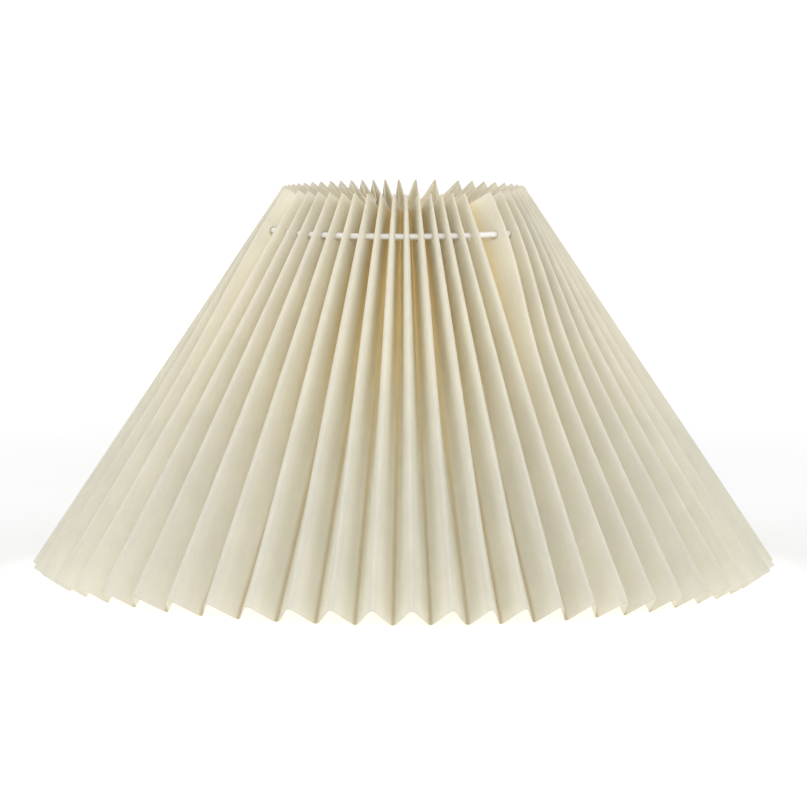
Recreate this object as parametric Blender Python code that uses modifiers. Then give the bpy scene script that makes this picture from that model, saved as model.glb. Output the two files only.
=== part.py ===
"""Pleated empire lamp shade on a wire neck ring, with a three-armed carrier and a reducer ring.

Metres, +Z up. The shade's axis is the Z axis and its lowest fold tips stand on Z = 0.
An azimuth is in degrees: 0 is the -Y side, and it grows towards +X.
A fold is counted in pleats round the shade: whole numbers are outer folds, halves are inner folds.
A place along a fold runs from 0 at the neck to 1 at the lower edge.
"""

import math

import bpy
from mathutils import Matrix, Vector

# The pleated laminate
PLEATS = 52
BOTTOM_RADIUS = 0.2002
TOP_RADIUS = 0.0652
FOLD_RISE = 0.2024
PANEL_WIDTH = 0.0198
LAMINATE = 0.0004
CREASE_HALF_WIDTH = 0.00024

# How the pleats are spread: closer together round CROWDED_AZIMUTH than elsewhere
FIRST_AZIMUTH = -3.9
CROWDED_AZIMUTH = 27.0
CROWDING = 7.5
SECOND_CROWDING = 2.2

# The neck ring, threaded through a hole in each panel
RING_RADIUS = 0.0720
RING_WIRE = 0.0032
RING_BELOW_TOP = 0.0224
HOLE_RADIUS = 0.0026
HOLE_DROP = 0.0005
SLEEVE_LENGTH = 0.0036
SLEEVE_WALL = 0.0005
SLEEVE_AZIMUTH = 213.0
RING_END_GAP = 0.0008

# The carrier: three arms, each clipped to the neck ring in the pocket of an outer fold. Round the neck an
# arm draws its fold along, with the folds ahead of it, so the panel behind it opens wide.
ARM_AZIMUTHS = (44.0, 164.0, 284.0)
ARM_FOLDS = (6, 24, 42)
ARM_NAMES = ("right", "back", "left")
ARM_WIRE = 0.0022
ARM_PUSH = 3.4
ARM_PUSH_REACH = 2.4
PULL_AHEAD = 8.0
PULL_BEHIND = 0.6
PULL_DOWN = 0.27
CLIP_WIDTH = 0.0014
CLIP_WALL = 0.0011
CLIP_MOUTH = 80.0
CLIP_STEM_LENGTH = 0.0030
CLIP_STEM_HEIGHT = 0.0030

# The fitter ring for an E27 lampholder, and the ring that reduces it to E14
FITTER_BELOW_RING = 0.0225
FITTER_HOLE_RADIUS = 0.0210
FITTER_RADIUS = 0.0285
FITTER_SHEET = 0.0012
FITTER_RIM_HEIGHT = 0.0050
REDUCER_HOLE_RADIUS = 0.0145
REDUCER_RADIUS = 0.0255
REDUCER_FLANGE = 0.0016
REDUCER_LIP_DEPTH = 0.0010
REDUCER_LIP_WALL = 0.0020

# The glued seams between the two lengths of laminate
SEAMS = (-15, 16)
FLAP_START = 0.0098
SEAM_EDGE = 0.0152
TAPE = 0.00015
GLUE_GAP = 0.00015

TOUCH_GAP = 0.0003
ROWS = (0.0, 0.07, 0.17, 0.29, 0.44, 0.7, 1.0)
RING_STEPS = 72
ROUND_STEPS = 48

SLANT = math.atan2(BOTTOM_RADIUS - TOP_RADIUS, FOLD_RISE)
SEAM_STEP = LAMINATE + TAPE + 2 * GLUE_GAP
RING_DOWN_THE_SLANT = RING_BELOW_TOP * math.cos(SLANT) + (RING_RADIUS - TOP_RADIUS) * math.sin(SLANT)
RING_ALONG = RING_DOWN_THE_SLANT / math.hypot(BOTTOM_RADIUS - TOP_RADIUS, FOLD_RISE)


def base_azimuth(fold):
    """Azimuth of a fold at the lower edge."""
    turn = 360 * fold / PLEATS
    lag = math.radians(turn - CROWDED_AZIMUTH)
    return turn + FIRST_AZIMUTH - CROWDING * math.sin(lag) - SECOND_CROWDING * math.sin(2 * lag)


def fading(along):
    """How much of the arms' pull is left along a fold."""
    return math.exp(-((along / PULL_DOWN) ** 2))


def neck_shift(fold):
    """How far the arms move a fold round the neck: each draws its own fold along and spreads those ahead."""
    shift = 0.0
    for arm_fold, azimuth in zip(ARM_FOLDS, ARM_AZIMUTHS):
        pull = (azimuth - base_azimuth(arm_fold)) / fading(RING_ALONG)
        way = math.copysign(1, pull)
        ahead = way * ((fold - arm_fold + PLEATS / 2) % PLEATS - PLEATS / 2)
        reach = PULL_AHEAD if ahead > 0 else PULL_BEHIND
        shift += pull * math.exp(-((ahead / reach) ** 2))
        spread = max(ahead, 0) / ARM_PUSH_REACH
        shift += way * ARM_PUSH * spread * math.exp(0.5 - 0.5 * spread**2)
    return shift


def fold_azimuth(fold, along):
    return base_azimuth(fold) + neck_shift(fold) * fading(along)


def around(radius, azimuth, height):
    """The point at a radius, an azimuth and a height."""
    angle = math.radians(azimuth)
    return Vector((radius * math.sin(angle), -radius * math.cos(angle), height))


def fold_depth(fold, along):
    """How deep an inner fold lies below its two outer folds, square to them."""
    radius = TOP_RADIUS + (BOTTOM_RADIUS - TOP_RADIUS) * along
    pitch = fold_azimuth(fold + 0.5, along) - fold_azimuth(fold - 0.5, along)
    bulge = 1 - math.cos(math.radians(pitch / 2))
    lean = radius * math.cos(SLANT) * bulge
    return lean + math.sqrt(lean**2 + PANEL_WIDTH**2 - 2 * radius**2 * bulge)


DEEPEST = max(fold_depth(step + 0.5, 1.0) for step in range(PLEATS))
OUTER_FOOT = DEEPEST * math.sin(SLANT)
RING_HEIGHT = OUTER_FOOT + FOLD_RISE - RING_BELOW_TOP
FITTER_HEIGHT = RING_HEIGHT - FITTER_BELOW_RING


def fold_corner(fold, along):
    """The point on a fold line, at the middle of the laminate."""
    radius = TOP_RADIUS + (BOTTOM_RADIUS - TOP_RADIUS) * along
    height = OUTER_FOOT + FOLD_RISE * (1 - along)
    if fold % 1:
        depth = fold_depth(fold, along)
        radius -= depth * math.cos(SLANT)
        height -= depth * math.sin(SLANT)
    return around(radius, fold_azimuth(fold, along), height)


def seam_point(fold, along, across, layer):
    """A point on the seam panel after an outer fold: across it, and on a layer inward from its middle."""
    outer = fold_corner(fold, along)
    inner = fold_corner(fold + 0.5, along)
    downhill = fold_corner(fold, 1.0) - fold_corner(fold, 0.0)
    normal = (inner - outer).cross(downhill).normalized()
    if normal.dot(fold_corner(fold + 1, along) - outer) > 0:
        normal.negate()
    return outer.lerp(inner, across / PANEL_WIDTH) + normal * layer


def blunt(before, corner, after):
    """The two points that replace a sharp corner, one on each panel beside it."""
    back = (before - corner).normalized()
    ahead = (after - corner).normalized()
    reach = CREASE_HALF_WIDTH / math.sin(back.angle(ahead) / 2)
    return corner + back * reach, corner + ahead * reach


def strip_section(first, last, along):
    """One row of points across a length of laminate, from its glue flap to its far edge."""
    flap = [seam_point(first, along, across, SEAM_STEP) for across in (FLAP_START, SEAM_EDGE, PANEL_WIDTH)]
    corners = [fold_corner(first + 1 + step / 2, along) for step in range(2 * (last - first) - 1)]
    edge = [seam_point(last, along, across, 0.0) for across in (FLAP_START, SEAM_EDGE)]
    path = [flap[1], flap[2], *corners, edge[0]]
    points = flap[:2]
    for before, corner, after in zip(path, path[1:], path[2:]):
        points.extend(blunt(before, corner, after))
    return [*points, *edge]


def finish(name, colour, roughness, metallic=0.0):
    material = bpy.data.materials.new(name)
    material.use_nodes = True
    shader = material.node_tree.nodes["Principled BSDF"]
    shader.inputs["Base Color"].default_value = (*colour, 1)
    shader.inputs["Roughness"].default_value = roughness
    shader.inputs["Metallic"].default_value = metallic
    return material


def add_object(name, data, collection, material=None):
    item = bpy.data.objects.new(name, data)
    if material:
        data.materials.append(material)
    collection.objects.link(item)
    return item


def sheet_object(name, rows, thickness, collection, material):
    """A thin sheet through rows of points, thickened to both sides."""
    wide = len(rows[0])
    faces = [
        (row * wide + i, row * wide + i + 1, (row + 1) * wide + i + 1, (row + 1) * wide + i)
        for row in range(len(rows) - 1)
        for i in range(wide - 1)
    ]
    mesh = bpy.data.meshes.new(name)
    mesh.from_pydata([point for row in rows for point in row], [], faces)
    item = add_object(name, mesh, collection, material)
    solid = item.modifiers.new("thickness", "SOLIDIFY")
    solid.thickness = thickness
    solid.offset = 0
    solid.use_even_offset = True
    solid.use_quality_normals = True
    return item


def turned_object(name, profile, collection, material):
    """A closed outline of (radius, height) points, outer side first and downward, turned about Z."""
    mesh = bpy.data.meshes.new(name)
    count = len(profile)
    mesh.from_pydata(
        [(radius, 0, height) for radius, height in profile], [(i, (i + 1) % count) for i in range(count)], []
    )
    item = add_object(name, mesh, collection, material)
    screw = item.modifiers.new("turn", "SCREW")
    screw.steps = screw.render_steps = ROUND_STEPS
    screw.use_merge_vertices = True
    screw.merge_threshold = 0.00001
    screw.use_smooth_shade = False
    return item


def wire_object(name, points, thickness, collection, material):
    """A round wire along points, with flat ends."""
    curve = bpy.data.curves.new(name, "CURVE")
    curve.dimensions = "3D"
    curve.bevel_depth = thickness / 2
    curve.bevel_resolution = 2
    curve.use_fill_caps = True
    spline = curve.splines.new("POLY")
    spline.points.add(len(points) - 1)
    for knot, point in zip(spline.points, points):
        knot.co = (*point, 1)
    return add_object(name, curve, collection, material)


def ring_hole_cutter(collection):
    """A torus round the neck ring's path: where it meets a panel, it leaves that panel's hole."""
    bpy.ops.mesh.primitive_torus_add(
        major_radius=RING_RADIUS,
        minor_radius=HOLE_RADIUS,
        major_segments=3 * PLEATS,
        minor_segments=8,
        location=(0, 0, RING_HEIGHT - HOLE_DROP),
    )
    cutter = bpy.context.object
    cutter.name = "ring_hole_cutter"
    for holder in cutter.users_collection:
        holder.objects.unlink(cutter)
    collection.objects.link(cutter)
    cutter.hide_render = True
    cutter.display_type = "WIRE"
    return cutter


def pleated_strip(name, first, last, cutter, collection, material):
    rows = [strip_section(first, last, along) for along in ROWS]
    strip = sheet_object(name, rows, LAMINATE, collection, material)
    cut = strip.modifiers.new("ring_holes", "BOOLEAN")
    cut.operation = "DIFFERENCE"
    cut.solver = "EXACT"
    cut.object = cutter


def seam_tape(name, fold, collection, material):
    layer = SEAM_STEP / 2
    rows = [[seam_point(fold, along, across, layer) for across in (FLAP_START, SEAM_EDGE)] for along in ROWS]
    sheet_object(name, rows, TAPE, collection, material)


def sleeve_azimuth():
    """The sleeve sits over the inner fold nearest SLEEVE_AZIMUTH, in the open pocket between two panels."""
    azimuths = [fold_azimuth(step + 0.5, RING_ALONG) for step in range(PLEATS)]
    return min(azimuths, key=lambda azimuth: abs(azimuth - SLEEVE_AZIMUTH))


def neck_ring(collection, material):
    start = sleeve_azimuth() + math.degrees(RING_END_GAP / 2 / RING_RADIUS)
    span = 360 - math.degrees(RING_END_GAP / RING_RADIUS)
    points = [
        around(RING_RADIUS, start + span * step / RING_STEPS, RING_HEIGHT) for step in range(RING_STEPS + 1)
    ]
    wire_object("neck_ring", points, RING_WIRE, collection, material)


def ring_sleeve(collection, material):
    """The crimped tube over the cut in the neck ring, turned about Z and then laid along the ring."""
    inner = RING_WIRE / 2 + TOUCH_GAP
    outer = inner + SLEEVE_WALL
    half = SLEEVE_LENGTH / 2
    profile = [(outer, half), (outer, -half), (inner, -half), (inner, half)]
    sleeve = turned_object("ring_sleeve", profile, collection, material)
    azimuth = sleeve_azimuth()
    tangent = Matrix.Rotation(math.radians(azimuth), 4, "Z") @ Matrix.Rotation(math.pi / 2, 4, "Y")
    sleeve.matrix_world = Matrix.Translation(around(RING_RADIUS, azimuth, RING_HEIGHT)) @ tangent


def clip_outline():
    """Outline of a clip, ring centre at 0: a C open towards +X, with a stem towards -X for the arm."""
    inner = RING_WIRE / 2 + TOUCH_GAP
    outer = inner + CLIP_WALL
    mouth = math.radians(CLIP_MOUTH)
    stem = math.pi - math.asin(CLIP_STEM_HEIGHT / 2 / outer)
    upper = [mouth + (stem - mouth) * step / 5 for step in range(6)]
    whole = [mouth + (2 * math.pi - 2 * mouth) * step / 14 for step in range(15)]
    tip = -outer - CLIP_STEM_LENGTH
    points = [(outer * math.cos(angle), outer * math.sin(angle)) for angle in upper]
    points += [(tip, CLIP_STEM_HEIGHT / 2), (tip, -CLIP_STEM_HEIGHT / 2)]
    points += [(outer * math.cos(angle), -outer * math.sin(angle)) for angle in reversed(upper)]
    points += [(inner * math.cos(angle), -inner * math.sin(angle)) for angle in whole]
    return points


def ring_clip(name, azimuth, collection, material):
    curve = bpy.data.curves.new(name, "CURVE")
    curve.dimensions = "2D"
    curve.fill_mode = "BOTH"
    curve.extrude = CLIP_WIDTH / 2
    spline = curve.splines.new("POLY")
    outline = clip_outline()
    spline.points.add(len(outline) - 1)
    spline.use_cyclic_u = True
    for knot, point in zip(spline.points, outline):
        knot.co = (*point, 0, 1)
    clip = add_object(name, curve, collection, material)
    upright = Matrix.Rotation(math.radians(azimuth - 90), 4, "Z") @ Matrix.Rotation(math.pi / 2, 4, "X")
    clip.matrix_world = Matrix.Translation(around(RING_RADIUS, azimuth, RING_HEIGHT)) @ upright


def carrier_arm(name, azimuth, collection, material):
    """A wire from its clip inward between two inner folds, then down to the rim of the fitter ring."""
    steps = 16
    clip_reach = RING_WIRE / 2 + TOUCH_GAP + CLIP_WALL + CLIP_STEM_LENGTH
    outer_end = RING_RADIUS - clip_reach - TOUCH_GAP
    inner_end = FITTER_RADIUS + TOUCH_GAP
    low = FITTER_HEIGHT + FITTER_RIM_HEIGHT / 2
    bend_start, bend_end = inner_end + 0.004, outer_end - 0.011
    points = []
    for step in range(steps + 1):
        radius = outer_end + (inner_end - outer_end) * step / steps
        part = min(max((radius - bend_start) / (bend_end - bend_start), 0), 1)
        points.append(around(radius, azimuth, low + (RING_HEIGHT - low) * part * part * (3 - 2 * part)))
    wire_object(name, points, ARM_WIRE, collection, material)


def fitter_ring(collection, material):
    """A flat ring with a raised rim: the lampholder's shoulder bears on it from below."""
    wall = FITTER_SHEET
    profile = [
        (FITTER_RADIUS, FITTER_RIM_HEIGHT),
        (FITTER_RADIUS, 0),
        (FITTER_HOLE_RADIUS, 0),
        (FITTER_HOLE_RADIUS, wall),
        (FITTER_RADIUS - wall, wall),
        (FITTER_RADIUS - wall, FITTER_RIM_HEIGHT),
    ]
    ring = turned_object("fitter_ring", profile, collection, material)
    ring.location.z = FITTER_HEIGHT


def reducer_ring(collection, material):
    """A loose plastic ring: its flange lies on the fitter ring and its lip centres it in the hole."""
    lip_outer = FITTER_HOLE_RADIUS - 0.0004
    lip_inner = lip_outer - REDUCER_LIP_WALL
    profile = [
        (REDUCER_RADIUS, REDUCER_FLANGE),
        (REDUCER_RADIUS, 0),
        (lip_outer, 0),
        (lip_outer, -REDUCER_LIP_DEPTH),
        (lip_inner, -REDUCER_LIP_DEPTH),
        (lip_inner, 0),
        (REDUCER_HOLE_RADIUS, 0),
        (REDUCER_HOLE_RADIUS, REDUCER_FLANGE),
    ]
    ring = turned_object("reducer_ring", profile, collection, material)
    ring.location.z = FITTER_HEIGHT + FITTER_SHEET + TOUCH_GAP


def main():
    for item in list(bpy.data.objects):
        bpy.data.objects.remove(item, do_unlink=True)
    scene_root = bpy.context.scene.collection
    shade = bpy.data.collections.new("pleated_lamp_shade")
    cutters = bpy.data.collections.new("cutters")
    scene_root.children.link(shade)
    scene_root.children.link(cutters)

    front_laminate = finish("front_laminate", (0.72, 0.66, 0.52), 0.75)
    back_laminate = finish("back_laminate", (0.72, 0.66, 0.52), 0.75)
    tape = finish("adhesive_tape", (0.85, 0.82, 0.74), 0.5)
    coated_wire = finish("coated_wire", (0.82, 0.81, 0.79), 0.3)
    crimped_steel = finish("crimped_steel", (0.6, 0.6, 0.6), 0.35, 1.0)
    painted_wire = finish("painted_wire", (0.83, 0.82, 0.8), 0.4)
    clip_plastic = finish("clip_plastic", (0.85, 0.85, 0.83), 0.4)
    painted_sheet = finish("painted_sheet", (0.83, 0.82, 0.8), 0.4)
    reducer_plastic = finish("reducer_plastic", (0.86, 0.85, 0.82), 0.35)

    cutter = ring_hole_cutter(cutters)
    left, right = SEAMS
    pleated_strip("pleated_strip_front", left, right, cutter, shade, front_laminate)
    pleated_strip("pleated_strip_back", right, left + PLEATS, cutter, shade, back_laminate)
    seam_tape("seam_tape_left", left, shade, tape)
    seam_tape("seam_tape_right", right, shade, tape)
    neck_ring(shade, coated_wire)
    ring_sleeve(shade, crimped_steel)
    for side, azimuth in zip(ARM_NAMES, ARM_AZIMUTHS):
        ring_clip(f"ring_clip_{side}", azimuth, shade, clip_plastic)
        carrier_arm(f"carrier_arm_{side}", azimuth, shade, painted_wire)
    fitter_ring(shade, painted_sheet)
    reducer_ring(shade, reducer_plastic)


main()
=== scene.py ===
"""Looks of the pleated lamp shade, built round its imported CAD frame.

An azimuth is in degrees: 0 is the -Y side, and it grows towards +X.
A fold is counted in pleats round the shade: whole numbers are outer folds, halves are inner folds.
A place along a fold runs from 0 at the neck to 1 at the lower edge.
"""

import math
import random

import bmesh
import bpy
from mathutils import Matrix, Vector


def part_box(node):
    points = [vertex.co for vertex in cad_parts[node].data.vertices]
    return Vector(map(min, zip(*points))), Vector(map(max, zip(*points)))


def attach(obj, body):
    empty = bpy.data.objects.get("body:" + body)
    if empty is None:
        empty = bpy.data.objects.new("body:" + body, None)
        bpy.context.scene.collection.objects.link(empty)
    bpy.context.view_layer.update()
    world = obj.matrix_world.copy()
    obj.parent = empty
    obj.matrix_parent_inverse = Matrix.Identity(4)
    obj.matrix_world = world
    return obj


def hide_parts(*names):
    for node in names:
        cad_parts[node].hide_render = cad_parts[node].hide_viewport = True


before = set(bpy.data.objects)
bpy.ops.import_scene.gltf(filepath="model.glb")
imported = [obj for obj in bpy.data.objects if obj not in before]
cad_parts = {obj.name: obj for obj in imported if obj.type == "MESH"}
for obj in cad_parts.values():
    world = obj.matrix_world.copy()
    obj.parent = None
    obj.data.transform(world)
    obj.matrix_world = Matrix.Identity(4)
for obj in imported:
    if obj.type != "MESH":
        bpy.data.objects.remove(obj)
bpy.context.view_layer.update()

MM = 0.001

# The pleats' driving sizes, as the CAD model has them
PLEATS = 52
BOTTOM_RADIUS = 0.2002
TOP_RADIUS = 0.0652
FOLD_RISE = 0.2024
PANEL_WIDTH = 0.0198
SLANT = math.atan2(BOTTOM_RADIUS - TOP_RADIUS, FOLD_RISE)
SLANT_LENGTH = math.hypot(BOTTOM_RADIUS - TOP_RADIUS, FOLD_RISE)
FIRST_AZIMUTH = -3.9
CROWDED_AZIMUTH = 27.0
CROWDING = 7.5
SECOND_CROWDING = 2.2
ARMS = {"right": (6, 44.0), "back": (24, 164.0), "left": (42, 284.0)}
ARM_PUSH = 3.4
ARM_PUSH_REACH = 2.4
PULL_AHEAD = 8.0
PULL_BEHIND = 0.6
PULL_DOWN = 0.27
SEAMS = (-15, 16)
FLAP_START = 0.0099
SEAM_EDGE = 0.0152
TAPE = 0.00015

# The laminate's own detail
LAMINATE = 0.00036
SEAM_SLACK = 0.00004
SEAM_STEP = LAMINATE + TAPE + SEAM_SLACK
SEAM_EASE = 0.006
CREASE_ROUNDING = 0.00036
CREASE_SPREAD = math.radians(30)
BOW_AT_EDGE = 0.0002
BOW_ADDED = 0.0008
BOW_MOST_ALONG = 0.3
BOW_PLACE = 0.15
BOW_WANDER = 0.35
CURL_WANDER = 0.00022
HOLE_RADIUS = 0.0024
HOLE_DROP = 0.0007

# How far the folds wander, in degrees, and the shares of it
AZIMUTH_WANDER = 0.28
EVEN_SHARE = 0.55
FOOT_SHARE = 0.6
WAVE_SHARE = 0.3
WAVES = 1.6
INNER_SHARE = 0.35
ARM_GRIP = 1.2
SEED = 11

# The laminate's mesh: columns across a panel, the columns and rows round a hole, and rows down the folds
STATIONS_MM = (0, 0.16, 0.36, 0.65, 1.1, 1.8, 3.0, 4.8, 6.9, 9.9)
PATCH_COLUMNS = (5, 10)
PATCH_ROWS = 7
HOLE_ROW_STEP = 0.0018
HOLE_ROWS = (-3.2, -2, -1, 0, 1, 2, 3.2)
HOLE_ROWS_CLEAR = 0.006
NECK_ROWS = (0, 0.0024, 0.010, 0.028)
LOWER_ROWS = 19
FOOT_ROWS = (0.990, 0.9976, 1.0)
LAST_GAP = 0.001

# Sizes read from the frame
RING_LOW, RING_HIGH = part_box("neck_ring")
RING_WIRE = RING_HIGH.z - RING_LOW.z
RING_RADIUS = RING_HIGH.x - RING_WIRE / 2
RING_HEIGHT = (RING_HIGH.z + RING_LOW.z) / 2
FITTER_LOW, FITTER_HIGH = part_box("fitter_ring")
REDUCER_LOW, REDUCER_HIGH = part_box("reducer_ring")


def base_azimuth(fold):
    """Azimuth of a fold at the lower edge."""
    turn = 360 * fold / PLEATS
    lag = math.radians(turn - CROWDED_AZIMUTH)
    return turn + FIRST_AZIMUTH - CROWDING * math.sin(lag) - SECOND_CROWDING * math.sin(2 * lag)


wander = random.Random(SEED)
FOLD_WANDER = [[wander.uniform(-1, 1) for _ in range(4)] for _ in range(2 * PLEATS)]
PANEL_WANDER = [[wander.uniform(-1, 1) for _ in range(3)] for _ in range(2 * PLEATS)]


def pleats_from(fold, other):
    """How many pleats on a fold is from another, the short way round."""
    return (fold - other + PLEATS / 2) % PLEATS - PLEATS / 2


def fading(along):
    """How much of the arms' pull is left along a fold."""
    return math.exp(-((along / PULL_DOWN) ** 2))


def neck_shift(fold):
    """How far the arms move a fold round the neck: each draws its own along and spreads those ahead."""
    shift = 0.0
    for arm_fold, azimuth in ARMS.values():
        pull = (azimuth - base_azimuth(arm_fold)) / fading(RING_ALONG)
        way = math.copysign(1, pull)
        ahead = way * pleats_from(fold, arm_fold)
        reach = PULL_AHEAD if ahead > 0 else PULL_BEHIND
        shift += pull * math.exp(-((ahead / reach) ** 2))
        spread = max(ahead, 0) / ARM_PUSH_REACH
        shift += way * ARM_PUSH * spread * math.exp(0.5 - 0.5 * spread**2)
    return shift


def near_arm(fold):
    """1 at a fold that an arm holds, down to 0 a few pleats away."""
    away = min(abs(pleats_from(fold, arm_fold)) for arm_fold, _ in ARMS.values())
    return math.exp(-((away / ARM_GRIP) ** 2))


def stray(fold, along):
    """How far a fold wanders in azimuth. Arms hold it still, and an inner fold follows its neighbours."""
    first, second, third, fourth = FOLD_WANDER[round(2 * fold) % (2 * PLEATS)]
    loose = 1 - near_arm(fold) * (1 - along)
    wave = math.sin(math.pi * (WAVES * along + fourth))
    own = EVEN_SHARE * first + FOOT_SHARE * second * along + WAVE_SHARE * third * wave
    own *= AZIMUTH_WANDER * loose
    if fold % 1:
        return INNER_SHARE * own + (stray(fold - 0.5, along) + stray(fold + 0.5, along)) / 2
    return own


def fold_azimuth(fold, along):
    return base_azimuth(fold) + neck_shift(fold) * fading(along) + stray(fold, along)


def around(radius, azimuth, height):
    """The point at a radius, an azimuth and a height."""
    angle = math.radians(azimuth)
    return Vector((radius * math.sin(angle), -radius * math.cos(angle), height))


def fold_depth(radius, pitch):
    """How deep an inner fold lies below two outer folds at that radius and pitch, square to them."""
    bulge = 1 - math.cos(math.radians(pitch / 2))
    lean = radius * math.cos(SLANT) * bulge
    return lean + math.sqrt(lean**2 + PANEL_WIDTH**2 - 2 * radius**2 * bulge)


def even_depth(fold):
    """An inner fold's depth at the lower edge, before any wander."""
    return fold_depth(BOTTOM_RADIUS, base_azimuth(fold + 0.5) - base_azimuth(fold - 0.5))


OUTER_FOOT = max(even_depth(step + 0.5) for step in range(PLEATS)) * math.sin(SLANT)
RING_BELOW_TOP = OUTER_FOOT + FOLD_RISE - RING_HEIGHT
RING_SLANT = RING_BELOW_TOP * math.cos(SLANT) + (RING_RADIUS - TOP_RADIUS) * math.sin(SLANT)
RING_ALONG = RING_SLANT / SLANT_LENGTH


def fold_corner(fold, along):
    """The point on a fold line, at the middle of the laminate, with the fold sharp."""
    radius = TOP_RADIUS + (BOTTOM_RADIUS - TOP_RADIUS) * along
    height = OUTER_FOOT + FOLD_RISE * (1 - along)
    if fold % 1:
        depth = fold_depth(radius, fold_azimuth(fold + 0.5, along) - fold_azimuth(fold - 0.5, along))
        radius -= depth * math.cos(SLANT)
        height -= depth * math.sin(SLANT)
    return around(radius, fold_azimuth(fold, along), height)


class Row:
    """The pleats at one place along the folds. half counts fold lines: 2 * fold."""

    def __init__(self, along):
        self.along = along
        self.corners, self.ways_in, self.normals = {}, {}, {}

    def corner(self, half):
        if half not in self.corners:
            self.corners[half] = fold_corner(half / 2, self.along)
        return self.corners[half]

    def way_in(self, half):
        """The way from a fold's tip into its pocket."""
        if half not in self.ways_in:
            here = self.corner(half)
            sides = [(self.corner(half + step) - here).normalized() for step in (-1, 1)]
            self.ways_in[half] = (sides[0] + sides[1]).normalized()
        return self.ways_in[half]

    def normal(self, half):
        """The normal of the panel after a fold, to the shade's outside."""
        if half not in self.normals:
            here, there = self.corner(half), self.corner(half + 1)
            middle = (here + there) / 2
            out = Vector((middle.x, middle.y, 0)).normalized()
            round_way = Vector((-out.y, out.x, 0)) * (1 if half % 2 == 0 else -1)
            downhill = out * math.sin(SLANT) - Vector((0, 0, math.cos(SLANT)))
            normal = (there - here).cross(downhill).normalized()
            self.normals[half] = normal if normal.dot(round_way) > 0 else -normal
        return self.normals[half]

    def point(self, half, across, layer=0.0):
        """A point on the panel after a fold.

        across runs from 0 at that fold to 1 at the next. layer moves it outward along the panel's normal.
        """
        here, there = self.corner(half), self.corner(half + 1)
        normal = self.normal(half)
        from_crest = across if half % 2 == 0 else 1 - across
        down = self.along / BOW_MOST_ALONG
        bow = BOW_AT_EDGE + BOW_ADDED * down * math.exp(1 - down)
        first, second, _ = PANEL_WANDER[half % (2 * PLEATS)]
        bow *= 1 + BOW_WANDER * first
        near, far = from_crest / BOW_PLACE, (1 - from_crest) / BOW_PLACE
        bulge = bow * (near * math.exp(1 - near) - far * math.exp(1 - far))
        bulge += CURL_WANDER * second * math.sin(math.pi * across)
        spot = here.lerp(there, across) + normal * (bulge + layer)
        for fold, part in ((half, across), (half + 1, 1 - across)):
            aside = part * PANEL_WIDTH * math.sin(CREASE_SPREAD)
            lift = math.hypot(aside, CREASE_ROUNDING) - aside
            spot += self.way_in(fold) * lift / math.tan(CREASE_SPREAD)
        return spot


def rows_along():
    """Places of the rows: even, and closer where the ring's holes are and at the two edges."""
    step = HOLE_ROW_STEP / SLANT_LENGTH
    close = [HOLE_ALONG + step * number for number in HOLE_ROWS]
    upper = [place for place in NECK_ROWS if place < close[0] - HOLE_ROWS_CLEAR]
    gap = FOOT_ROWS[0] - close[-1]
    lower = [close[-1] + gap * number / LOWER_ROWS for number in range(1, LOWER_ROWS + 1)]
    return [*upper, *close, *lower, *FOOT_ROWS[1:]]


def ring_crossing(half):
    """Where the neck ring passes through the panel after a fold: (across, along)."""
    across, along = (0.33 if half % 2 == 0 else 0.67), 0.11

    def miss(across, along):
        point = Row(along).point(half, across)
        return math.hypot(point.x, point.y) - RING_RADIUS, point.z - RING_HEIGHT

    small = 0.0005
    for _ in range(6):
        radial, height = miss(across, along)
        radial_a, height_a = miss(across + small, along)
        radial_b, height_b = miss(across, along + small)
        a, b = (radial_a - radial) / small, (radial_b - radial) / small
        c, d = (height_a - height) / small, (height_b - height) / small
        det = a * d - b * c
        across -= (d * radial - b * height) / det
        along -= (a * height - c * radial) / det
    return across, along


CROSSINGS = {half: ring_crossing(half) for half in range(2 * PLEATS)}
HOLE_ALONG = RING_ALONG + HOLE_DROP / SLANT_LENGTH


def stations():
    """Places across a panel, closer at the creases."""
    near = [place * MM / PANEL_WIDTH for place in STATIONS_MM]
    return [*near, *(1 - place for place in reversed(near[:-1]))]


def smooth_all(mesh):
    for face in mesh.polygons:
        face.use_smooth = True


def panel_places(half, flap, edge):
    """Places across a panel. The glue flap starts late, and the seam's far edge ends early."""
    places = stations()
    if half == flap:
        return [FLAP_START / PANEL_WIDTH, *(p for p in places if p > (FLAP_START + LAST_GAP) / PANEL_WIDTH)]
    if half == edge:
        return [*(p for p in places if p < (SEAM_EDGE - LAST_GAP) / PANEL_WIDTH), SEAM_EDGE / PANEL_WIDTH]
    return places


def seam_layer(half, flap, across):
    """How far out a panel lies by the seam: the flap is one step under, and the next panel eases off it."""
    if half == flap:
        return -SEAM_STEP
    if half == flap + 1:
        ease = max(0, 1 - across * PANEL_WIDTH / SEAM_EASE)
        return SEAM_STEP * ease * ease
    return 0.0


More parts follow.
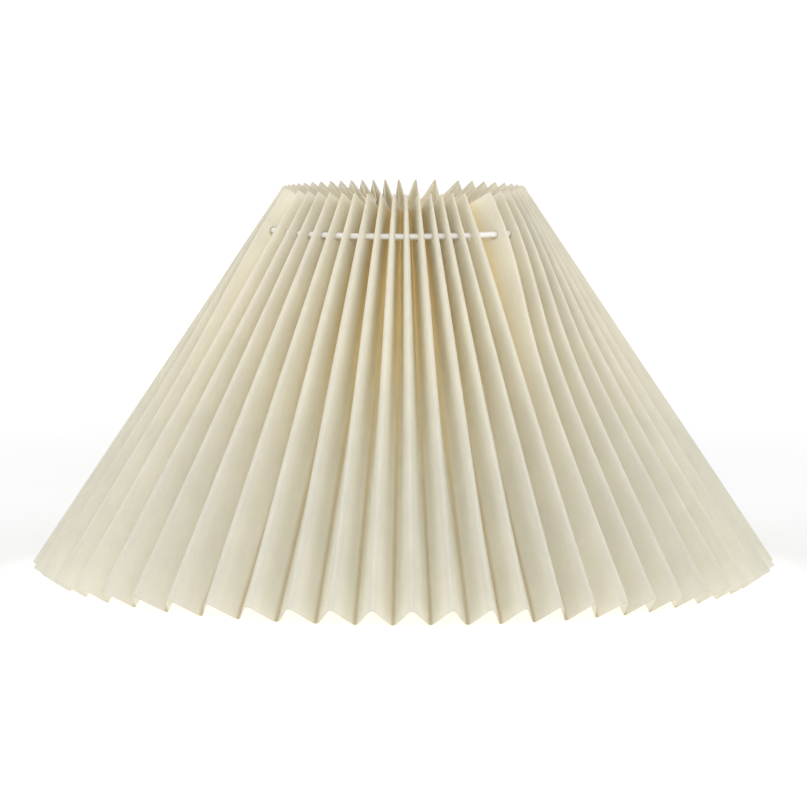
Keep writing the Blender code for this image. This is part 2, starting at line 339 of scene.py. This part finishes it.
class Laminate:
    """A laminate's mesh as it grows, and each vertex's place on the flat sheet."""

    def __init__(self):
        self.bm = bmesh.new()
        self.flat = self.bm.loops.layers.uv.new("flat")
        self.depth = self.bm.verts.layers.float.new("depth")
        self.tone = self.bm.verts.layers.float.new("tone")
        self.flat_of = {}

    def vertex(self, row, half, across, layer=0.0):
        vert = self.bm.verts.new(row.point(half, across, layer))
        vert[self.depth] = across if half % 2 == 0 else 1 - across
        vert[self.tone] = PANEL_WANDER[half % (2 * PLEATS)][2]
        self.flat_of[vert] = ((half + across) * PANEL_WIDTH, row.along * SLANT_LENGTH)
        return vert

    def face(self, *verts):
        made = self.bm.faces.new(verts)
        made.smooth = True
        for loop in made.loops:
            loop[self.flat].uv = self.flat_of[loop.vert]

    def punch(self, half, rim):
        """Fills the gap inside a rim of vertices with two rings of faces round a punched hole."""
        across, along = CROSSINGS[half % (2 * PLEATS)]
        centre = Vector(((half + across) * PANEL_WIDTH, along * SLANT_LENGTH + HOLE_DROP))
        rings = [rim]
        for share in (0.5, 1.0):
            ring = []
            for vert in rim:
                place = Vector(self.flat_of[vert])
                place = place.lerp(centre + (place - centre).normalized() * HOLE_RADIUS, share)
                ring.append(self.vertex(Row(place.y / SLANT_LENGTH), half, place.x / PANEL_WIDTH - half))
            rings.append(ring)
        for outer, inner in zip(rings, rings[1:]):
            for i in range(len(rim)):
                j = (i + 1) % len(rim)
                self.face(outer[i], outer[j], inner[j], inner[i])

    def panel(self, half, grid, hole):
        """Faces over a panel's grid of vertices. hole is (top, bottom, low, high) in the grid, or None."""
        top, bottom, low, high = hole or (0, 0, 0, 0)
        for r in range(len(grid) - 1):
            for c in range(len(grid[0]) - 1):
                if not (top <= r < bottom and low <= c < high):
                    self.face(grid[r][c], grid[r][c + 1], grid[r + 1][c + 1], grid[r + 1][c])
        if hole:
            rim = grid[top][low : high + 1]
            rim += [grid[r][high] for r in range(top + 1, bottom + 1)]
            rim += [grid[bottom][c] for c in range(high - 1, low - 1, -1)]
            rim += [grid[r][low] for r in range(bottom - 1, top, -1)]
            self.punch(half, rim)
            for row in grid[top + 1 : bottom]:
                for vert in row[low + 1 : high]:
                    self.bm.verts.remove(vert)

    def finished(self, name):
        """The mesh, its faces turned to the shade's outside."""
        bmesh.ops.recalc_face_normals(self.bm, faces=self.bm.faces)
        outward = 0.0
        for face in self.bm.faces:
            middle = face.calc_center_median()
            outward += face.normal.x * middle.x + face.normal.y * middle.y
        if outward < 0:
            bmesh.ops.reverse_faces(self.bm, faces=self.bm.faces)
        mesh = bpy.data.meshes.new(name)
        self.bm.to_mesh(mesh)
        self.bm.free()
        return mesh


def laminate_piece(name, first, last, materials):
    """One length of laminate from its glue flap to its far edge, each panel after the flap with its hole."""
    rows = [Row(along) for along in rows_along()]
    top = min(range(len(rows)), key=lambda i: abs(rows[i].along - HOLE_ALONG)) - PATCH_ROWS // 2
    bottom = top + PATCH_ROWS - 1
    low, high = PATCH_COLUMNS
    last_place = len(stations()) - 1
    flap, edge = 2 * first, 2 * last
    laminate = Laminate()
    shared = None
    for half in range(flap, edge + 1):
        places = panel_places(half, flap, edge)
        grid = []
        for number, row in enumerate(rows):
            new = places[1:] if shared else places
            line = [laminate.vertex(row, half, across, seam_layer(half, flap, across)) for across in new]
            grid.append([shared[number], *line] if shared else line)
        hole = (top, bottom, low, min(high, len(places) - 1))
        if half % 2:
            hole = (top, bottom, last_place - high, last_place - low)
        laminate.panel(half, grid, None if half == flap else hole)
        shared = [line[-1] for line in grid]
    mesh = laminate.finished(name)
    for material in materials:
        mesh.materials.append(material)
    piece = bpy.data.objects.new(name, mesh)
    bpy.context.scene.collection.objects.link(piece)
    solid = piece.modifiers.new("thickness", "SOLIDIFY")
    solid.thickness = LAMINATE
    solid.offset = 0
    solid.use_even_offset = True
    solid.use_quality_normals = True
    solid.material_offset = 1
    solid.material_offset_rim = 2
    return piece


def tape_piece(name, fold, material):
    """The double-sided tape between the two layers of a seam."""
    long, wide = 16, 4
    rows = [Row(number / long) for number in range(long + 1)]
    across = [FLAP_START + (SEAM_EDGE - FLAP_START) * number / wide for number in range(wide + 1)]
    points = [row.point(2 * fold, place / PANEL_WIDTH, -SEAM_STEP / 2) for row in rows for place in across]
    faces = []
    for r in range(long):
        for c in range(wide):
            here, below = r * (wide + 1) + c, (r + 1) * (wide + 1) + c
            faces.append((here, here + 1, below + 1, below))
    piece = mesh_piece(name, points, faces, material)
    solid = piece.modifiers.new("thickness", "SOLIDIFY")
    solid.thickness = TAPE
    solid.offset = 0
    return piece


def mesh_piece(name, points, faces, material):
    mesh = bpy.data.meshes.new(name)
    mesh.from_pydata([tuple(point) for point in points], [], faces)
    smooth_all(mesh)
    mesh.materials.append(material)
    piece = bpy.data.objects.new(name, mesh)
    bpy.context.scene.collection.objects.link(piece)
    return piece


def tube_piece(name, points, radii, material, sides=20):
    """A round tube along points, one radius for each, with flat ends."""
    count = len(points)
    ways = []
    for i in range(count):
        ways.append((points[min(i + 1, count - 1)] - points[max(i - 1, 0)]).normalized())
    side = ways[0].orthogonal().normalized()
    verts, faces = [], []
    for point, way, radius in zip(points, ways, radii):
        side = (side - way * side.dot(way)).normalized()
        up = way.cross(side)
        for number in range(sides):
            angle = 2 * math.pi * number / sides
            verts.append(point + (side * math.cos(angle) + up * math.sin(angle)) * radius)
    for ring in range(count - 1):
        for number in range(sides):
            after = (number + 1) % sides
            low, high = ring * sides, (ring + 1) * sides
            faces.append((low + number, low + after, high + after, high + number))
    faces.append(tuple(range(sides - 1, -1, -1)))
    faces.append(tuple(range((count - 1) * sides, count * sides)))
    piece = mesh_piece(name, verts, faces, material)
    piece.data.set_sharp_from_angle(angle=math.radians(50))
    return piece


def rounded(corners, radius, steps=4):
    """A closed outline with each corner rounded; a corner may give its own radius as a third number."""
    points = []
    count = len(corners)
    for i, corner in enumerate(corners):
        here = Vector(corner[:2])
        size = corner[2] if len(corner) > 2 else radius
        back = Vector(corners[i - 1][:2]) - here
        ahead = Vector(corners[(i + 1) % count][:2]) - here
        half = back.angle(ahead) / 2
        reach = min(size / math.tan(half), 0.49 * back.length, 0.49 * ahead.length)
        size = reach * math.tan(half)
        middle = here + (back.normalized() + ahead.normalized()).normalized() * size / math.sin(half)
        start = here + back.normalized() * reach - middle
        turn = start.angle_signed(here + ahead.normalized() * reach - middle)
        for step in range(steps + 1):
            angle = -turn * step / steps
            x = middle.x + start.x * math.cos(angle) - start.y * math.sin(angle)
            y = middle.y + start.x * math.sin(angle) + start.y * math.cos(angle)
            points.append((x, y))
    return points


def turned_piece(name, outline, centre, material, steps=160):
    """A closed outline of (radius, height) turned about a vertical axis through centre."""
    count = len(outline)
    verts, faces = [], []
    for step in range(steps):
        angle = 2 * math.pi * step / steps
        for radius, height in outline:
            verts.append(centre + Vector((radius * math.sin(angle), -radius * math.cos(angle), height)))
    for step in range(steps):
        after = (step + 1) % steps
        for i in range(count):
            j = (i + 1) % count
            faces.append((step * count + i, step * count + j, after * count + j, after * count + i))
    piece = mesh_piece(name, verts, faces, material)
    bm = bmesh.new()
    bm.from_mesh(piece.data)
    bmesh.ops.recalc_face_normals(bm, faces=bm.faces)
    bm.to_mesh(piece.data)
    bm.free()
    piece.data.set_sharp_from_angle(angle=math.radians(40))
    return piece


def settled(piece):
    """The piece with its modifiers worked into its mesh."""
    graph = bpy.context.evaluated_depsgraph_get()
    mesh = bpy.data.meshes.new_from_object(piece.evaluated_get(graph))
    mesh.name = piece.name
    piece.modifiers.clear()
    piece.data = mesh
    return piece


def ring_piece(material, azimuth, end_gap):
    """The neck ring: a coated wire bent to a ring, open by end_gap at an azimuth."""
    steps = 260
    start = azimuth + math.degrees(end_gap / 2 / RING_RADIUS)
    span = 360 - math.degrees(end_gap / RING_RADIUS)
    points = [around(RING_RADIUS, start + span * step / steps, RING_HEIGHT) for step in range(steps + 1)]
    return tube_piece("ring_wire", points, [RING_WIRE / 2] * len(points), material)


def crimp_piece(material, azimuth, outer):
    """The crimped tube over the ring's two ends, with two pressed grooves."""
    half, clearance, corner = 0.0018, 0.00004, 0.00012
    groove_middle, groove_top, groove_floor, groove_depth = 0.0008, 0.0005, 0.00022, 0.00022
    inner, floor = RING_WIRE / 2 + clearance, outer - groove_depth
    outline = [(inner, -half), (inner, half), (outer, half)]
    for middle in (groove_middle, -groove_middle):
        outline += [(outer, middle + groove_top), (floor, middle + groove_floor)]
        outline += [(floor, middle - groove_floor), (outer, middle - groove_top)]
    outline.append((outer, -half))
    piece = turned_piece("ring_crimp", rounded(outline, corner, 3), Vector(), material, steps=48)
    along_ring = Matrix.Rotation(math.radians(azimuth), 4, "Z") @ Matrix.Rotation(math.pi / 2, 4, "Y")
    piece.data.transform(Matrix.Translation(around(RING_RADIUS, azimuth, RING_HEIGHT)) @ along_ring)
    return piece


def clip_piece(name, azimuth, material):
    """A moulded C-clip on the neck ring, its mouth outward, with a socket inward for an arm."""
    inner, wall, half_width = RING_WIRE / 2 + 0.00012, 0.0011, 0.0007
    outer = inner + wall
    mouth, steps = math.radians(76), 22
    sweep = 2 * math.pi - 2 * mouth
    around_clip = [mouth + sweep * step / steps for step in range(steps + 1)]
    outline = [(outer * math.cos(angle), outer * math.sin(angle)) for angle in around_clip]
    outline += [(inner * math.cos(angle), -inner * math.sin(angle)) for angle in around_clip]
    bm = bmesh.new()
    sides = []
    for across in (-half_width, half_width):
        sides.append([bm.verts.new((x, across, z)) for x, z in outline])
    count = len(outline)
    for i in range(steps):
        for side, flip in ((sides[0], False), (sides[1], True)):
            quad = [side[i], side[i + 1], side[count - 2 - i], side[count - 1 - i]]
            bm.faces.new(reversed(quad) if flip else quad)
    for i in range(count):
        j = (i + 1) % count
        bm.faces.new((sides[0][i], sides[0][j], sides[1][j], sides[1][i]))
    bmesh.ops.recalc_face_normals(bm, faces=bm.faces)
    sharp = [edge for edge in bm.edges if edge.calc_face_angle(0) > math.radians(50)]
    bmesh.ops.bevel(bm, geom=sharp, offset=0.00022, segments=3, affect="EDGES", profile=0.6)
    mesh = bpy.data.meshes.new(name)
    bm.to_mesh(mesh)
    bm.free()
    smooth_all(mesh)
    mesh.set_sharp_from_angle(angle=math.radians(60))
    mesh.materials.append(material)
    piece = bpy.data.objects.new(name, mesh)
    bpy.context.scene.collection.objects.link(piece)
    turn = Matrix.Rotation(math.radians(azimuth - 90), 4, "Z")
    place = Matrix.Translation(around(RING_RADIUS, azimuth, RING_HEIGHT)) @ turn
    mesh.transform(place)
    socket_start = outer - 0.0006
    socket = ((0.0, 0.0016), (0.0004, 0.0019), (0.0042, 0.0019), (0.0046, 0.0015))
    points = [place @ Vector((-socket_start - reach, 0, 0)) for reach, _ in socket]
    join(piece, tube_piece("socket", points, [radius for _, radius in socket], material, sides=24))
    return piece


def join(piece, other):
    """Puts another piece's mesh into piece's."""
    bm = bmesh.new()
    bm.from_mesh(piece.data)
    bm.from_mesh(other.data)
    bm.to_mesh(piece.data)
    bm.free()
    bpy.data.objects.remove(other)


def arm_piece(name, azimuth, material):
    """A bent wire from its clip's socket inward and down to a weld bead on the fitter's rim."""
    wire, bead_swell, bead_reach = 0.0011, 0.0007, 0.0022
    outer_end = RING_RADIUS - 0.0052
    inner_end = FITTER_HIGH.x - 0.0004
    bend_start, bend_end = inner_end + 0.0047, outer_end - 0.0106
    low = (FITTER_LOW.z + FITTER_HIGH.z) / 2
    steps = 60
    points, radii = [], []
    for step in range(steps + 1):
        radius = outer_end + (inner_end - outer_end) * step / steps
        part = min(max((radius - bend_start) / (bend_end - bend_start), 0), 1)
        points.append(around(radius, azimuth, low + (RING_HEIGHT - low) * part * part * (3 - 2 * part)))
        bead = max(0, 1 - (radius - inner_end) / bead_reach)
        radii.append(wire + bead_swell * math.sin(0.5 * math.pi * bead) ** 2)
    return tube_piece(name, points, radii, material)


def fitter_piece(material):
    """A pressed steel ring: a flat seat with a turned-up rim, its edges rolled."""
    outer, wall, hole = FITTER_HIGH.x, 0.0012, 0.0210
    low, high = FITTER_LOW.z, FITTER_HIGH.z
    outline = [
        (hole, low, 0.0005),
        (outer, low, 0.0014),
        (outer, high, 0.00055),
        (outer - wall, high, 0.00055),
        (outer - wall, low + wall, 0.0006),
        (hole, low + wall, 0.0005),
    ]
    return turned_piece("fitter", rounded(outline, 0.0004, 6), Vector(), material)


def reducer_piece(material):
    """A moulded plastic ring that lies loose on the fitter, with a lip into its hole."""
    outer, lip_outer, lip_inner, hole = REDUCER_HIGH.x, 0.0206, 0.0186, 0.0145
    top, lip = REDUCER_HIGH.z, REDUCER_LOW.z
    under = top - 0.0016
    outline = [
        (outer, top, 0.0005),
        (outer, under, 0.0003),
        (lip_outer, under, 0.0002),
        (lip_outer, lip, 0.0003),
        (lip_inner, lip, 0.0003),
        (lip_inner, under, 0.0002),
        (hole, under, 0.0003),
        (hole, top, 0.0004),
    ]
    return turned_piece("reducer", rounded(outline, 0.0003, 5), Vector(), material)


# Materials


def new_tree(name):
    material = bpy.data.materials.new(name)
    material.use_nodes = True
    material.node_tree.nodes.clear()
    return material, material.node_tree


def node(tree, kind, inputs=None, **settings):
    """A node with its settings, and each input given as a value or as another node's output."""
    made = tree.nodes.new("ShaderNode" + kind)
    for key, value in settings.items():
        setattr(made, key, value)
    for socket, value in (inputs or {}).items():
        if isinstance(value, bpy.types.NodeSocket):
            tree.links.new(value, made.inputs[socket])
        else:
            made.inputs[socket].default_value = value
    return made


def math_node(tree, operation, first, second=0.0):
    return node(tree, "Math", {0: first, 1: second}, operation=operation).outputs[0]


def mix_colours(tree, share, first, second, blend="MIX"):
    made = node(tree, "Mix", {0: share, 6: first, 7: second}, data_type="RGBA", blend_type=blend)
    return made.outputs[2]


def fitted(tree, value, low, high, to_low=0.0, to_high=1.0):
    """value scaled smoothly from low..high to to_low..to_high."""
    sockets = {"Value": value, 1: low, 2: high, 3: to_low, 4: to_high}
    return node(tree, "MapRange", sockets, interpolation_type="SMOOTHSTEP").outputs[0]


def noise(tree, vector, scale, detail=2.0, roughness=0.5, stretch=None):
    if stretch:
        vector = node(tree, "Mapping", {"Vector": vector, "Scale": stretch}).outputs[0]
    sockets = {"Vector": vector, "Scale": scale, "Detail": detail, "Roughness": roughness}
    return node(tree, "TexNoise", sockets).outputs["Fac"]


def weave_height(tree, flat, pitch):
    """A plain weave: threads across and along the cloth, each over one and under the next."""
    split = node(tree, "SeparateXYZ", {0: flat})
    waves = [
        math_node(tree, "SINE", math_node(tree, "MULTIPLY", split.outputs[axis], math.pi / pitch))
        for axis in (0, 1)
    ]
    return math_node(tree, "MULTIPLY", waves[0], waves[1])


def laminate_cloth(name, crest_shade, panel, neck_valley_shade, foot_valley_shade, foot_shade_tint, through, share):
    """The shade's woven face: slubs along the folds, light through it, and painted shade by depth in the
    pleat: darker crests, golden valleys near the neck and at the foot, and a darker, cooler cloth below the
    neck.
    """
    material, tree = new_tree(name)
    flat = node(tree, "UVMap", uv_map="flat").outputs[0]
    down = node(tree, "SeparateXYZ", {0: flat}).outputs[1]
    depth = node(tree, "Attribute", attribute_name="depth").outputs["Fac"]
    tone = node(tree, "Attribute", attribute_name="tone").outputs["Fac"]
    slub = noise(tree, flat, 1.0, 3.0, 0.6, (2600, 90, 1))
    cross_slub = noise(tree, flat, 1.0, 3.0, 0.6, (110, 2300, 1))
    cloud = noise(tree, flat, 38.0, 3.0, 0.55)
    # Painted shade: the cloth is darker at the crests than on the panels' faces.
    colour = mix_colours(tree, fitted(tree, depth, 0.02, 0.30), (*crest_shade, 1), (*panel, 1))
    # Painted shade in the pleats' valleys: golden near the neck, darker and browner at the foot, and over
    # more of the panel near the neck.
    valley = mix_colours(tree, fitted(tree, down, 0.01, 0.22), (*neck_valley_shade, 1), (*foot_valley_shade, 1))
    neck_shade_mask = fitted(tree, down, 0.03, 0.17, 1.0, 0.0)
    neck_shade_mask = math_node(tree, "MULTIPLY", neck_shade_mask, fitted(tree, depth, 0.40, 1.0))
    valley_shade_mask = math_node(tree, "MAXIMUM", neck_shade_mask, fitted(tree, depth, 0.86, 1.0))
    colour = mix_colours(tree, valley_shade_mask, colour, valley)
    # Painted shade: below the neck the whole cloth is multiplied darker and a little cooler.
    colour = mix_colours(tree, fitted(tree, down, 0.06, 0.20), colour, (*foot_shade_tint, 1), "MULTIPLY")
    streaks = fitted(tree, slub, 0.3, 0.7, 0.965, 1.02)
    streaks = math_node(tree, "MULTIPLY", streaks, fitted(tree, cross_slub, 0.3, 0.7, 0.985, 1.01))
    streaks = math_node(tree, "MULTIPLY", streaks, fitted(tree, cloud, 0.25, 0.75, 0.97, 1.02))
    streaks = math_node(tree, "MULTIPLY", streaks, fitted(tree, tone, -1.0, 1.0, 0.975, 1.01))
    colour = mix_colours(tree, 1.0, colour, streaks, "MULTIPLY")
    height = weave_height(tree, flat, 0.00045)
    height = math_node(tree, "MULTIPLY", height, 0.5)
    height = math_node(tree, "ADD", height, math_node(tree, "MULTIPLY", slub, 1.4))
    height = math_node(tree, "ADD", height, cross_slub)
    bump = node(tree, "Bump", {"Strength": 0.55, "Distance": 0.00006, "Height": height}).outputs[0]
    roughness = fitted(tree, slub, 0.2, 0.8, 0.72, 0.86)
    sockets = {"Base Color": colour, "Roughness": roughness, "Normal": bump}
    sockets |= {"Specular IOR Level": 0.25, "Sheen Weight": 0.12, "Sheen Roughness": 0.5}
    skin = node(tree, "BsdfPrincipled", sockets).outputs[0]
    lit = mix_colours(tree, 1.0, colour, (*through, 1), "MULTIPLY")
    glow = node(tree, "BsdfTranslucent", {"Color": lit, "Normal": bump}).outputs[0]
    both = node(tree, "MixShader", {0: share, 1: skin, 2: glow}).outputs[0]
    node(tree, "OutputMaterial", {"Surface": both})
    return material


def laminate_film(name, colour, share):
    """The smooth film on the inside, with faint scuffs."""
    material, tree = new_tree(name)
    flat = node(tree, "UVMap", uv_map="flat").outputs[0]
    cloud = noise(tree, flat, 60.0, 3.0, 0.6)
    scuff = noise(tree, flat, 1.0, 4.0, 0.7, (900, 120, 1))
    shade = fitted(tree, cloud, 0.3, 0.7, 0.96, 1.0)
    shade = math_node(tree, "MULTIPLY", shade, fitted(tree, scuff, 0.3, 0.8, 1.0, 0.97))
    tinted = mix_colours(tree, 1.0, (*colour, 1), shade, "MULTIPLY")
    bump = node(tree, "Bump", {"Strength": 0.3, "Distance": 0.00003, "Height": scuff}).outputs[0]
    roughness = fitted(tree, scuff, 0.3, 0.7, 0.38, 0.52)
    sockets = {"Base Color": tinted, "Roughness": roughness, "Normal": bump}
    skin = node(tree, "BsdfPrincipled", sockets).outputs[0]
    glow = node(tree, "BsdfTranslucent", {"Color": tinted, "Normal": bump}).outputs[0]
    both = node(tree, "MixShader", {0: share, 1: skin, 2: glow}).outputs[0]
    node(tree, "OutputMaterial", {"Surface": both})
    return material


def cut_edge(name, colour):
    """The guillotined edge of the laminate: film and cloth in thin layers."""
    material, tree = new_tree(name)
    flat = node(tree, "UVMap", uv_map="flat").outputs[0]
    fibre = noise(tree, flat, 1.0, 2.0, 0.6, (3200, 3200, 1))
    darker = tuple(part * 0.86 for part in colour)
    tinted = mix_colours(tree, fitted(tree, fibre, 0.3, 0.7), (*colour, 1), (*darker, 1))
    bump = node(tree, "Bump", {"Strength": 0.5, "Distance": 0.00005, "Height": fibre}).outputs[0]
    roughness = fitted(tree, fibre, 0.3, 0.7, 0.7, 0.9)
    sockets = {"Base Color": tinted, "Roughness": roughness, "Normal": bump}
    skin = node(tree, "BsdfPrincipled", sockets).outputs[0]
    node(tree, "OutputMaterial", {"Surface": skin})
    return material


def coated(name, colour, roughness, grain, bump_depth, metallic=0.0, coat=0.0, tint=0.05):
    """Painted, moulded or bare hard stuff: cloudy roughness, a fine grain and a slight change of tone."""
    material, tree = new_tree(name)
    place = node(tree, "TexCoord").outputs["Object"]
    cloud = noise(tree, place, 120.0, 3.0, 0.6)
    fine = noise(tree, place, grain, 2.0, 0.5)
    darker = tuple(part * (1 - tint) for part in colour)
    tinted = mix_colours(tree, fitted(tree, cloud, 0.3, 0.7), (*darker, 1), (*colour, 1))
    bump = node(tree, "Bump", {"Strength": 0.4, "Distance": bump_depth, "Height": fine}).outputs[0]
    rough = fitted(tree, cloud, 0.3, 0.7, roughness - 0.06, roughness + 0.06)
    sockets = {"Base Color": tinted, "Roughness": rough, "Normal": bump}
    sockets |= {"Metallic": metallic, "Coat Weight": coat}
    skin = node(tree, "BsdfPrincipled", sockets).outputs[0]
    node(tree, "OutputMaterial", {"Surface": skin})
    return material


def painted_glow_table():
    """A matt white table top that glows, most under the shade and far off: painted light that washes out the
    shade's shadow and keeps the far floor white, and that also lights the shade from below.
    """
    material, tree = new_tree("painted_glow_table")
    place = node(tree, "TexCoord").outputs["Object"]
    haze = noise(tree, place, 30.0)
    white = mix_colours(tree, haze, (0.96, 0.96, 0.96, 1), (0.97, 0.97, 0.97, 1))
    from_middle = node(tree, "VectorMath", {0: place}, operation="LENGTH").outputs["Value"]
    # Painted light: the strong glow under the shade washes out the shade's shadow, and the glow far off
    # keeps the floor white.
    near = fitted(tree, from_middle, 0.17, 0.24, 0.52, 0.14)
    glow = math_node(tree, "ADD", near, fitted(tree, from_middle, 0.5, 1.5, 0.0, 0.24))
    sockets = {"Base Color": white, "Roughness": 0.8}
    sockets |= {"Emission Color": (1, 1, 1, 1), "Emission Strength": glow}
    skin = node(tree, "BsdfPrincipled", sockets).outputs[0]
    node(tree, "OutputMaterial", {"Surface": skin})
    return material


cloth = laminate_cloth(
    "cream_cloth",
    crest_shade=(0.90, 0.885, 0.81),
    panel=(0.955, 0.94, 0.86),
    neck_valley_shade=(0.93, 0.79, 0.48),
    foot_valley_shade=(0.70, 0.63, 0.45),
    foot_shade_tint=(0.90, 0.91, 0.94),
    through=(1.0, 0.96, 0.84),
    share=0.46,
)
film = laminate_film("satin_film", (0.97, 0.955, 0.90), 0.46)
edge = cut_edge("cut_edge", (0.70, 0.63, 0.50))
tape_skin = coated("adhesive_tape", (0.80, 0.76, 0.66), 0.45, 900.0, 0.00002)
ring_skin = coated("coated_wire", (0.86, 0.85, 0.83), 0.28, 700.0, 0.00003, coat=0.3)
steel = coated("crimped_steel", (0.62, 0.62, 0.61), 0.32, 1500.0, 0.00002, metallic=1.0)
clip_skin = coated("clip_plastic", (0.84, 0.84, 0.82), 0.38, 1100.0, 0.00003)
paint = coated("painted_wire", (0.84, 0.83, 0.81), 0.36, 800.0, 0.00004, coat=0.15)
fitter_paint = coated("painted_sheet", (0.84, 0.83, 0.81), 0.36, 800.0, 0.00004, coat=0.15)
reducer_skin = coated("reducer_plastic", (0.85, 0.84, 0.81), 0.33, 1300.0, 0.00002)


def placed(piece, body, slot, *nodes):
    """Rides the piece on a body and lets it stand for CAD nodes; slot is not used."""
    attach(piece, body)
    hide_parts(*nodes)
    return piece


sleeve_low, sleeve_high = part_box("ring_sleeve")
sleeve_middle = (sleeve_low + sleeve_high) / 2
sleeve_azimuth = math.degrees(math.atan2(sleeve_middle.x, -sleeve_middle.y))
ring = placed(ring_piece(ring_skin, sleeve_azimuth, 0.0008), "shade", "coated_wire", "neck_ring")
crimp = crimp_piece(steel, sleeve_azimuth, (sleeve_high.z - sleeve_low.z) / 2)
placed(crimp, "shade", "crimped_steel", "ring_sleeve")
for side, (_, azimuth) in ARMS.items():
    placed(clip_piece(f"clip_{side}", azimuth, clip_skin), "shade", "clip_plastic", f"ring_clip_{side}")
    placed(arm_piece(f"arm_{side}", azimuth, paint), "shade", "painted_wire", f"carrier_arm_{side}")
placed(fitter_piece(fitter_paint), "shade", "painted_sheet", "fitter_ring")
placed(reducer_piece(reducer_skin), "reducer", "reducer_plastic", "reducer_ring")

left_seam, right_seam = SEAMS
for side, seam in (("left", left_seam), ("right", right_seam)):
    placed(tape_piece(f"tape_{side}", seam, tape_skin), "shade", "adhesive_tape", f"seam_tape_{side}")
for name, first, last in (("front", left_seam, right_seam), ("back", right_seam, left_seam + PLEATS)):
    laminate = settled(laminate_piece(f"laminate_{name}", first, last, (cloth, film, edge)))
    laminate.data.set_sharp_from_angle(angle=math.radians(72))
    placed(laminate, "shade", "laminate", f"pleated_strip_{name}")


def floor_and_light():
    floor = mesh_piece(
        "floor",
        [(-30, -30, 0), (30, -30, 0), (30, 30, 0), (-30, 30, 0)],
        [(0, 1, 2, 3)],
        painted_glow_table(),
    )
    floor.location.z = -0.0003
    world = bpy.data.worlds.new("studio")
    world.use_nodes = True
    world.node_tree.nodes["Background"].inputs["Color"].default_value = (1, 1, 1, 1)
    world.node_tree.nodes["Background"].inputs["Strength"].default_value = 0.70
    bpy.context.scene.world = world
    for name, place, size, power in (
        ("softbox_left", (-2.3, -1.3, 1.2), 1.8, 21),
        ("softbox_right", (2.3, -1.3, 1.2), 1.8, 19),
        ("softbox_front", (0.2, -2.6, 0.8), 1.4, 12),
    ):
        lamp = bpy.data.lights.new(name, "AREA")
        lamp.size = size
        lamp.energy = power
        softbox = bpy.data.objects.new(name, lamp)
        softbox.location = place
        softbox.rotation_euler = (Vector((0, 0, 0.1)) - Vector(place)).to_track_quat("-Z", "Y").to_euler()
        bpy.context.scene.collection.objects.link(softbox)
    bpy.context.scene.view_settings.view_transform = "Standard"
    bpy.context.scene.cycles.diffuse_bounces = 10


def photo_camera():
    """The camera at the photograph's angle: a little above the shade, level with its middle."""
    distance, elevation, aim_height = 2.897, math.radians(5.69), 0.0948
    lens = bpy.data.cameras.new("camera")
    lens.lens, lens.sensor_width = 240, 36
    lens.clip_end = 200
    camera = bpy.data.objects.new("camera", lens)
    camera.location = (0, -distance * math.cos(elevation), aim_height + distance * math.sin(elevation))
    camera.rotation_euler = (math.pi / 2 - elevation, 0, 0)
    bpy.context.scene.collection.objects.link(camera)
    bpy.context.scene.camera = camera


floor_and_light()
photo_camera()
